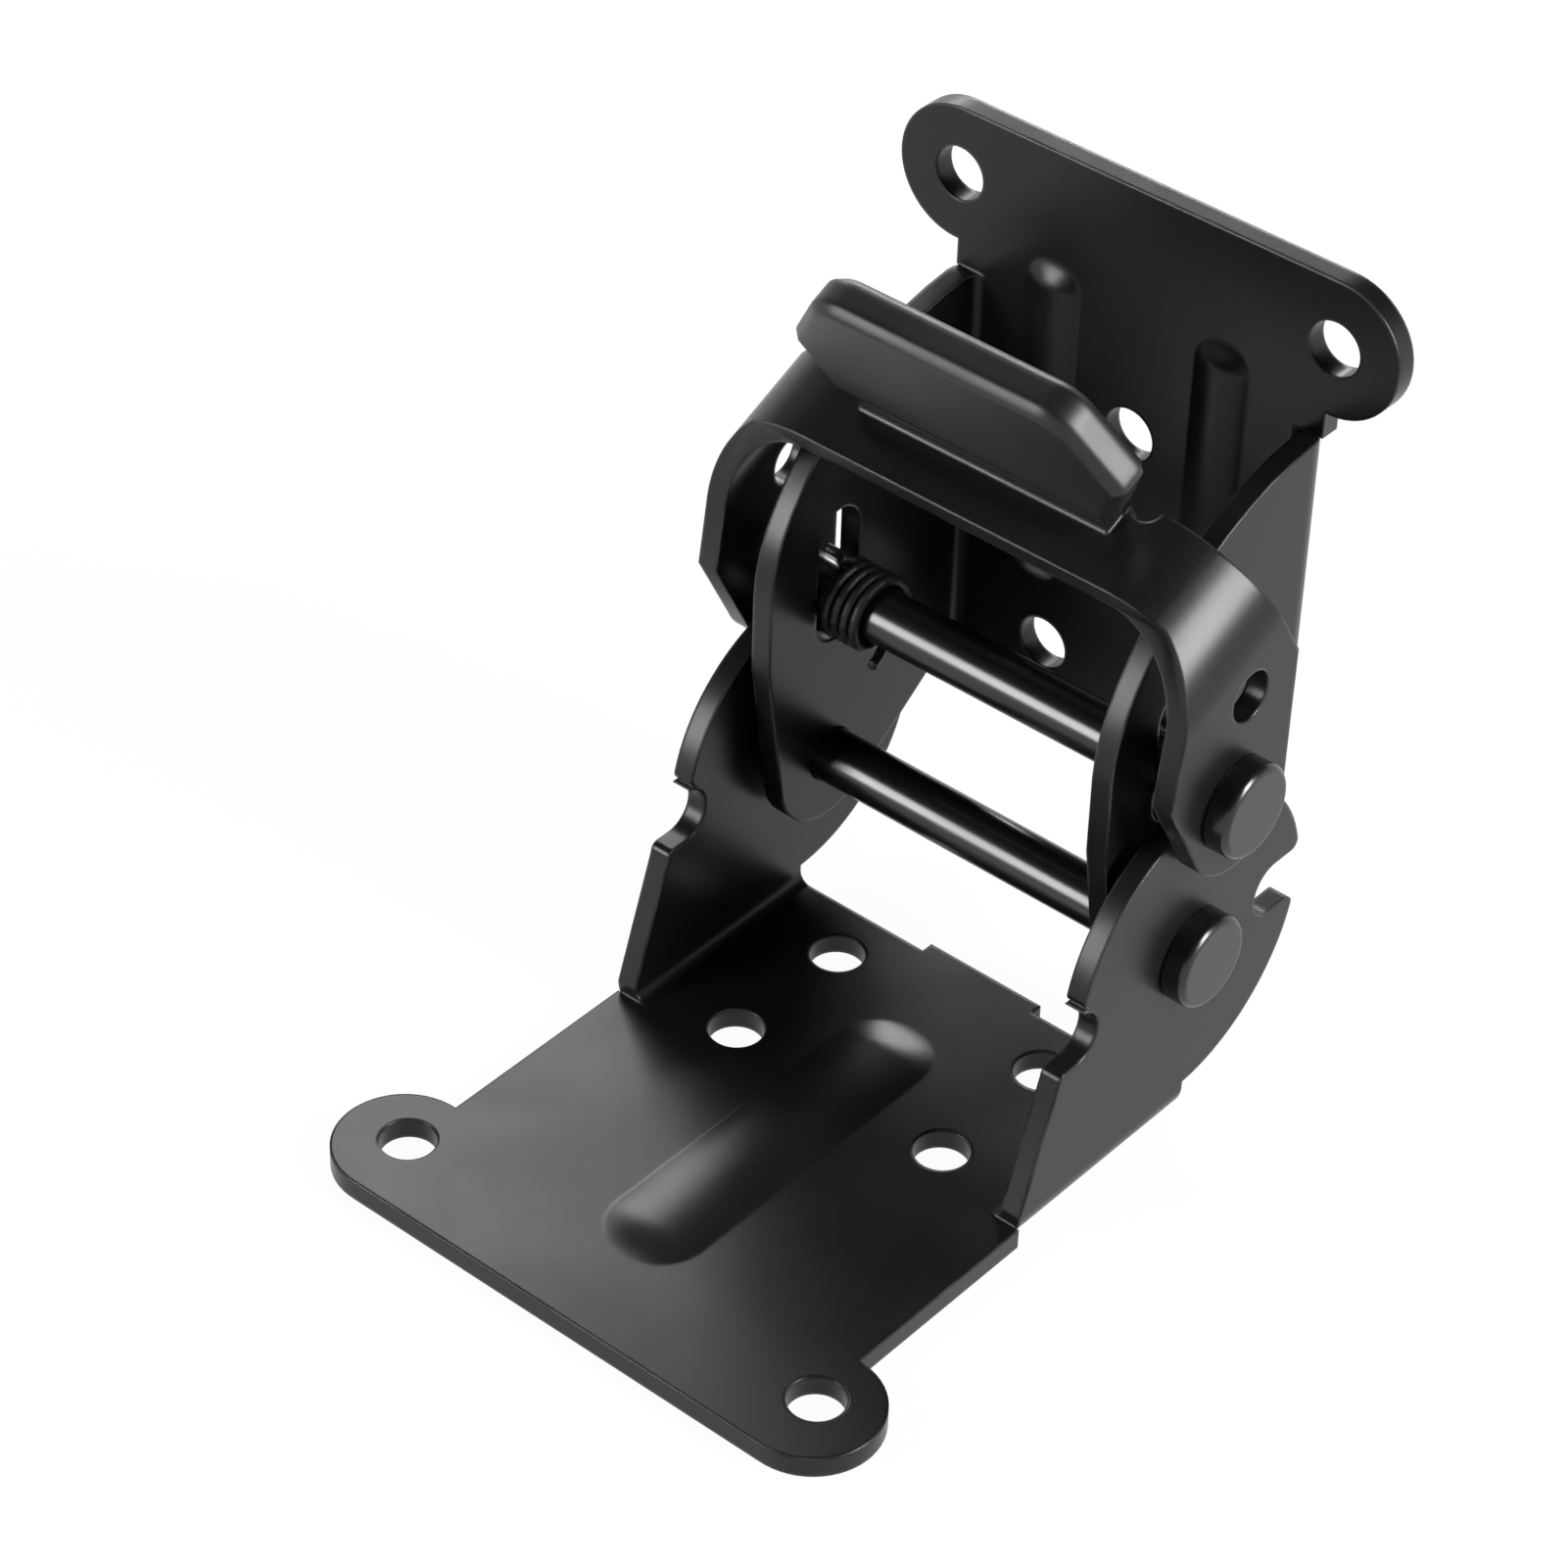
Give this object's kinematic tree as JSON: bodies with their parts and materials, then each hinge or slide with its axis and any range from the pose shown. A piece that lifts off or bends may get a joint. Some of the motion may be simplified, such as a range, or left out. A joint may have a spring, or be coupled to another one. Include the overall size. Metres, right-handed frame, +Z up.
{
  "type": "folding table leg hinge",
  "caption": "Sheet steel folding leg hinge with two U brackets on a pivot pin and a sprung pull lever that locks it folded, square or flat.",
  "frame": {"origin": "midway between the two ear holes of the base bracket, on its underside", "axes": "+X along the pins, +Y from the ear holes towards the pivot, +Z up, away from what the base is screwed to"},
  "size_m": [0.0578, 0.0734, 0.0759],
  "materials": {
    "painted_sheet": "satin black powder coat",
    "painted_pin": "satin black powder coat",
    "spacer": "black oxide",
    "grip_plastic": "smooth matte black",
    "spring_wire": "black oxide"
  },
  "bodies": {
    "base": {"base_bracket": "painted_sheet", "pivot_pin": "painted_pin", "pivot_spacer_left": "spacer", "pivot_spacer_right": "spacer"},
    "leg": {"leg_bracket": "painted_sheet"},
    "lever": {"release_lever": "painted_sheet", "lever_grip": "grip_plastic", "lock_pin": "painted_pin", "lock_spring": "spring_wire"}
  },
  "joints": [
    {"name": "leg_fold", "type": "hinge", "parent": "base", "child": "leg", "pos_m": [0, 0.0478, 0.0188], "axis": [1, 0, 0], "range_deg": [-90, 90]},
    {"name": "lever_pull", "type": "slide", "parent": "leg", "child": "lever", "axis": [0, 0, 1], "range_m": [-0.00225, 0.004], "stiffness_N_per_m": 600}
  ]
}
